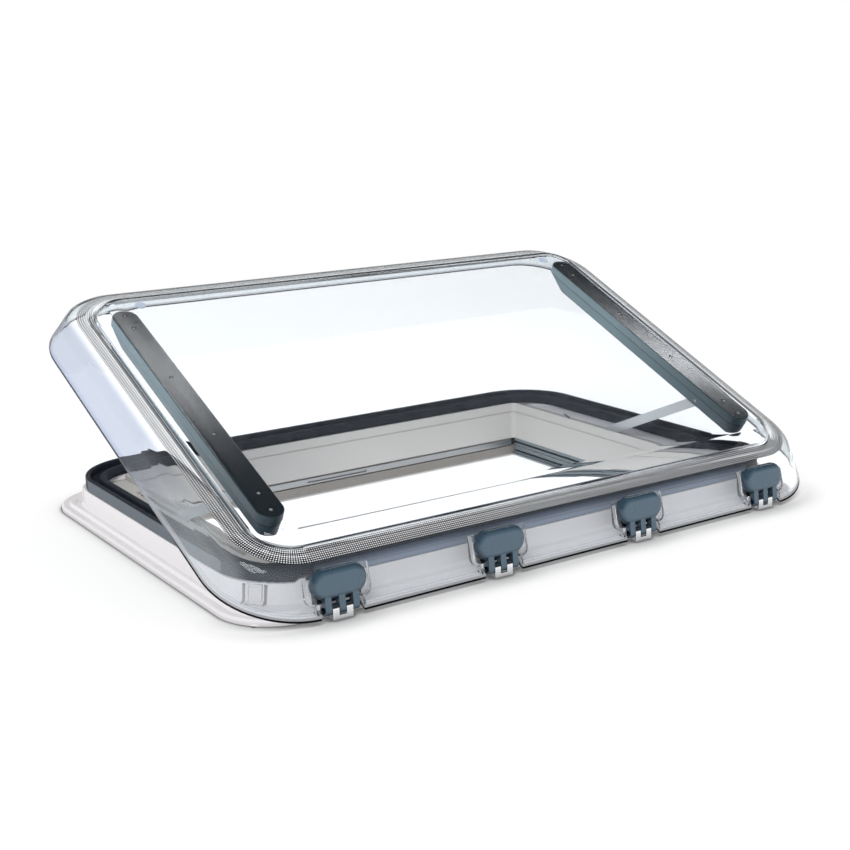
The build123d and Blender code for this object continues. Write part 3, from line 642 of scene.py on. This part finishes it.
# clear panes; the top of the inner one is lowered by a hair, so that no two clear faces coincide
panes = {"outerSmoothAngle": 40.0, "innerEdge": 0.0005, "innerTop": 0.0488, "airGap": 0.0003}
finishedCopy("outer_pane", "outerPane", "outerAcrylic", "lid", smoothAngle=panes["outerSmoothAngle"])
innerPane = finishedCopy("inner_pane", "innerPane", "innerAcrylic", "lid", panes["innerEdge"])
roofToLid = lidToRoof().inverted()
for vertex in innerPane.data.vertices:
    shut = roofToLid @ vertex.co
    if shut.z > panes["innerTop"]:
        shut.z -= panes["airGap"]
        vertex.co = lidToRoof() @ shut
print("panes made")

# cloths: each roll in its cassette, and the stretch from the roll through the slit to the pull bar
cloths = {
    "screen": {"end": 1, "slotZ": -0.0335, "leave": 90, "finish": "screenMesh", "slot": "screen_mesh"},
    "blind": {"end": -1, "slotZ": -0.05, "leave": -90, "finish": "blackoutCloth", "slot": "blackout_cloth"},
}
roll = {
    "axisY": 0.31465, "axisZ": -0.041, "inner": 0.0053, "outer": 0.0097, "turns": 12.5, "steps": 28,
    "halfX": 0.42, "thickness": 0.00025,
}
stretch = {"halfX": 0.389, "barY": 0.2952, "rows": 12}


def extrudedCloth(name, points, halfX, finish, body, thickness):
    # a line in the y z plane drawn out across the window
    shape = bmesh.new()
    line = [shape.verts.new((-halfX, y, z)) for y, z in points]
    edges = [shape.edges.new(pair) for pair in zip(line, line[1:])]
    grown = bmesh.ops.extrude_edge_only(shape, edges=edges)["geom"]
    moved = [item for item in grown if isinstance(item, bmesh.types.BMVert)]
    bmesh.ops.translate(shape, vec=(2 * halfX, 0, 0), verts=moved)
    bmesh.ops.recalc_face_normals(shape, faces=shape.faces)
    for face in shape.faces:
        face.smooth = True
    mesh = bpy.data.meshes.new(name)
    shape.to_mesh(mesh)
    shape.free()
    piece = newPiece(name, mesh, finishes[finish], body)
    if thickness:
        piece.modifiers.new("clothThickness", "SOLIDIFY").thickness = thickness
    return piece


def windRoll(cloth, look):
    # the winding ends where the cloth leaves the roll
    count = int(roll["turns"] * roll["steps"])
    points = []
    for step in range(count + 1):
        share = step / count
        angle = math.radians(look["leave"]) - look["end"] * 2 * math.pi * roll["turns"] * (1 - share)
        radius = roll["inner"] + (roll["outer"] - roll["inner"]) * share
        y = look["end"] * roll["axisY"] + radius * math.cos(angle)
        points.append((y, roll["axisZ"] + radius * math.sin(angle)))
    piece = extrudedCloth(cloth + "Roll", points, roll["halfX"], look["finish"], "frame", roll["thickness"])
    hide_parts(cloth + "_roll")
    return points[-1]


def stretchCloth(cloth, look, start):
    # the run from the roll to the pull bar
    end = (look["end"] * stretch["barY"], look["slotZ"])
    points = [
        tuple(a + (b - a) * row / stretch["rows"] for a, b in zip(start, end))
        for row in range(stretch["rows"] + 1)]
    piece = extrudedCloth(cloth + "Stretch", points, stretch["halfX"], look["finish"], None, 0.0)
    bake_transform(piece)


for cloth, look in cloths.items():
    stretchCloth(cloth, look, windRoll(cloth, look))
print("cloths made", len(cloths))

# printed band on the underside of the outer pane, between the shoulder and the raised middle
band = {
    "outer": {"halfX": 0.4815, "front": 0.0395, "back": 0.6965, "radius": 0.0795, "height": 0.0478},
    "inner": {"halfX": 0.4605, "front": 0.059, "back": 0.674, "radius": 0.0585, "height": 0.0545},
    "cornerSteps": 16, "sideSteps": 24, "rows": 4,
}


def roundedLoop(loop):
    # points round a rounded rectangle on the shut lid
    middle = (loop["front"] + loop["back"]) / 2
    straightX = loop["halfX"] - loop["radius"]
    straightY = (loop["back"] - loop["front"]) / 2 - loop["radius"]
    arcs = []
    for corner, (signX, signY) in enumerate([(1, 1), (-1, 1), (-1, -1), (1, -1)]):
        centre = Vector((signX * straightX, middle + signY * straightY, loop["height"]))
        arc = []
        for step in range(band["cornerSteps"] + 1):
            angle = math.radians(90 * (corner + step / band["cornerSteps"]))
            arc.append(centre + loop["radius"] * Vector((math.cos(angle), math.sin(angle), 0)))
        arcs.append(arc)
    points = []
    for arc, following in zip(arcs, arcs[1:] + arcs[:1]):
        points += arc
        for step in range(1, band["sideSteps"]):
            points.append(arc[-1].lerp(following[0], step / band["sideSteps"]))
    return points


def makeBand():
    outer = roundedLoop(band["outer"])
    inner = roundedLoop(band["inner"])
    count = len(outer)
    width = (outer[0] - inner[0]).length
    # running length along the middle of the band
    along = [0.0]
    for i in range(count):
        here = (outer[i] + inner[i]) / 2
        following = (outer[(i + 1) % count] + inner[(i + 1) % count]) / 2
        along.append(along[-1] + (following - here).length)
    shape = bmesh.new()
    uvLayer = shape.loops.layers.uv.new("bandMap")
    ring = [shape.verts.new(point) for point in outer]
    edges = [shape.edges.new((ring[i], ring[(i + 1) % count])) for i in range(count)]
    places = {vert: (i, 0.0) for i, vert in enumerate(ring)}
    for row in range(1, band["rows"] + 1):
        share = row / band["rows"]
        grown = bmesh.ops.extrude_edge_only(shape, edges=edges)["geom"]
        verts = [item for item in grown if isinstance(item, bmesh.types.BMVert)]
        edges = [item for item in grown if isinstance(item, bmesh.types.BMEdge)
                 and item.verts[0] in verts and item.verts[1] in verts]
        rowPlaces = {}
        for vert in verts:
            # a new point takes the place in the loop of the one that it was drawn from
            linked = [edge.other_vert(vert) for edge in vert.link_edges]
            index = next(places[other][0] for other in linked if other in places)
            vert.co = outer[index].lerp(inner[index], share)
            rowPlaces[vert] = (index, share)
        places.update(rowPlaces)
    for face in shape.faces:
        face.smooth = True
        indices = [places[loop.vert][0] for loop in face.loops]
        wraps = max(indices) - min(indices) > 1
        for loop in face.loops:
            index, share = places[loop.vert]
            run = along[count] if wraps and index == 0 else along[index]
            loop[uvLayer].uv = (run, share * width)
    bmesh.ops.transform(shape, matrix=lidToRoof(), verts=shape.verts)
    mesh = bpy.data.meshes.new("printedBand")
    shape.to_mesh(mesh)
    shape.free()
    piece = newPiece("printedBand", mesh, finishes["printedDots"], "lid")
    # the dots throw no dotted shadow, and don't show twice in the pane's gloss
    piece.visible_shadow = False
    piece.visible_glossy = False


makeBand()
print("printed band made")

# floor: a pale board with the window's cut-out, with painted shade where the flange lies on it
floor = {
    "size": 2.6, "cutX": 0.48, "cutY": 0.3275, "pale": 0.92, "mottled": 0.91, "mottleScale": 3.0,
    "dark": 0.1, "glow": 0.09, "throughGlow": 0.5, "samples": 12,
    "contact": 0.05, "contactShade": 1.5, "gap": 0.007, "gapShade": 1.1,
}


def floorPaint():
    paint = newPaint("paleFloor")
    openness = 1.0
    # painted shade from ambient occlusion: a soft shade round the flange and a thin dark line right under
    # it
    for reach, depth in ((floor["contact"], floor["contactShade"]), (floor["gap"], floor["gapShade"])):
        light = paint.node("AmbientOcclusion", {"samples": floor["samples"]}, {"Distance": reach}, out=1)
        openness = openness - (1 - light) * depth
    mottle = paint.noise(paint.place(), floor["mottleScale"], 2.0)
    pale = paint.blend(mottle, grey(floor["pale"]), grey(floor["mottled"]))
    colour = paint.blend(paint.limited(openness), grey(floor["dark"]), pale)
    matt = paint.surface({"Color": colour}, "BsdfDiffuse")
    throughGlass = paint.ray("Is Transmission Ray")
    strength = floor["glow"] + throughGlass * floor["throughGlow"]
    glow = paint.surface({"Color": grey(1.0), "Strength": strength}, "Emission")
    both = paint.node("AddShader", {}, {0: matt, 1: glow})
    seen = paint.limited(paint.ray("Is Camera Ray") + paint.ray("Is Glossy Ray") + throughGlass)
    return paint.finish(paint.mixed(seen, matt, both))


def makeFloor():
    shape = bmesh.new()
    bmesh.ops.create_grid(shape, x_segments=1, y_segments=1, size=floor["size"] / 2)
    for direction, offset in (((1, 0, 0), floor["cutX"]), ((0, 1, 0), floor["cutY"])):
        for sign in (-1, 1):
            bmesh.ops.bisect_plane(
                shape, geom=[*shape.verts, *shape.edges, *shape.faces],
                plane_co=Vector(direction) * offset * sign, plane_no=direction)
    middle = []
    for face in shape.faces:
        centre = face.calc_center_median()
        if abs(centre.x) < floor["cutX"] and abs(centre.y) < floor["cutY"]:
            middle.append(face)
    bmesh.ops.delete(shape, geom=middle, context="FACES")
    mesh = bpy.data.meshes.new("floorBoard")
    shape.to_mesh(mesh)
    shape.free()
    board = bpy.data.objects.new("floorBoard", mesh)
    scene.collection.objects.link(board)
    mesh.materials.append(floorPaint())


makeFloor()
print("floor made")

# world: a white backdrop all round; mirrors see a dim ceiling, one long soft strip and a bluish glow
studio = {
    "fill": 0.72, "fillBelow": 1.6, "throughGlass": 1.45,
    "ceiling": 0.03, "horizonTop": 0.3, "horizonBottom": 0.1, "sharpBackdrop": 0.4,
}
strip = {
    "across": (0.21, 0.8725, -0.4885), "shift": 0.12, "lean": 0.04, "middle": 0.67,
    "near": 0.013, "far": 0.022, "wider": 0.075, "power": 5.8, "gain": 17.5, "gainFrom": 0.4,
    "above": 0.3, "left": 0.25, "right": 0.78,
}
cornerGlow = {"towards": (-0.46, 0.88, -0.08), "width": 0.25, "power": 0.9, "colour": (0.8, 0.92, 1.1, 1.0)}


def stripLight(paint, direction):
    # a long soft strip across the ceiling, wider to the left and stronger to the right
    sideways, height = paint.parts(direction)[::2]
    leftwards = strip["middle"] - sideways
    offset = paint.dot(direction, strip["across"]) - strip["shift"] + leftwards * strip["lean"]
    width = strip["near"] + (strip["far"] - strip["near"]) * (offset > 0)
    offset = offset / (width + paint.sum("MAXIMUM", leftwards, 0) * strip["wider"])
    power = strip["power"] + (sideways - strip["gainFrom"]) * strip["gain"]
    inside = (height > strip["above"]) * (sideways > strip["left"]) * (sideways < strip["right"])
    return paint.function("EXPONENT", -1 * (offset * offset)) * power * inside


def makeWorld():
    world = bpy.data.worlds.new("studio")
    scene.world = world
    paint = Paint(world, "OutputWorld")
    direction = paint.node("TexCoord", out="Generated")
    height = paint.parts(direction)[2]
    # what satin and clear pieces mirror; the clear ones see a darker room and no strip
    sharp = paint.ray("Is Singular Ray")
    backdrop = paint.falls(height, studio["horizonTop"], studio["horizonTop"] - studio["horizonBottom"])
    backdrop = backdrop * (1 - sharp * (1 - studio["sharpBackdrop"]))
    towards = paint.dot(direction, cornerGlow["towards"])
    glow = paint.function("EXPONENT", (towards - 1) / cornerGlow["width"] ** 2)
    mirrored = studio["ceiling"] + (1 - studio["ceiling"]) * backdrop
    mirrored = mirrored + stripLight(paint, direction) * (1 - sharp) + glow * cornerGlow["power"]
    # what is seen straight, through glass or in a mirror
    throughGlass = paint.ray("Is Transmission Ray")
    seen = paint.limited(paint.ray("Is Camera Ray") + paint.ray("Is Glossy Ray") + throughGlass)
    seen = seen * (1 - (paint.ray("Diffuse Depth") > 0.5))
    reflected = paint.ray("Glossy Depth") > 0.5
    straight = 1 + throughGlass * (studio["throughGlass"] - 1)
    level = straight + (mirrored - straight) * reflected
    # what lights the matt surfaces, brighter from below
    fill = studio["fill"] + (studio["fillBelow"] - studio["fill"]) * (height < 0)
    return paint.finish(paint.surface({
        "Color": paint.blend(glow * reflected * seen, grey(1.0), cornerGlow["colour"]),
        "Strength": seen * level + (1 - seen) * fill,
    }, "Background"))


# a broad soft sun, from the left
keyLight = {"from": (-0.75, -0.6, 0.9), "power": 1.5, "angle": 30}


def makeKeyLight():
    light = bpy.data.lights.new("softSun", "SUN")
    light.energy = keyLight["power"]
    light.angle = math.radians(keyLight["angle"])
    lamp = bpy.data.objects.new("softSun", light)
    lamp.rotation_mode = "QUATERNION"
    lamp.rotation_quaternion = Vector(keyLight["from"]).to_track_quat("Z", "Y")
    lamp.visible_glossy = False
    scene.collection.objects.link(lamp)


makeWorld()
makeKeyLight()
print("lights made")

# camera: angles in radians, lens and sensor in millimetres
view = {
    "place": (-1.20695, -1.799, 0.65915), "yaw": 0.5905, "pitch": 0.2449, "roll": -0.0188,
    "lens": 60.1, "sensor": 36.0, "nearest": 0.05, "furthest": 60.0,
}


def makeCamera():
    yaw, pitch, tilt = view["yaw"], view["pitch"], view["roll"]
    forward = Vector((math.sin(yaw) * math.cos(pitch), math.cos(yaw) * math.cos(pitch), -math.sin(pitch)))
    right = Vector((math.cos(yaw), -math.sin(yaw), 0))
    up = right.cross(forward)
    side = math.cos(tilt) * right + math.sin(tilt) * up
    top = -math.sin(tilt) * right + math.cos(tilt) * up
    data = bpy.data.cameras.new("photoView")
    data.lens = view["lens"]
    data.sensor_width = view["sensor"]
    data.clip_start = view["nearest"]
    data.clip_end = view["furthest"]
    camera = bpy.data.objects.new("photoView", data)
    turn = Matrix((side, top, -forward)).transposed().to_4x4()
    camera.matrix_world = Matrix.Translation(view["place"]) @ turn
    scene.collection.objects.link(camera)
    scene.camera = camera


makeCamera()
scene.view_settings.view_transform = "Standard"

print("scene ready")
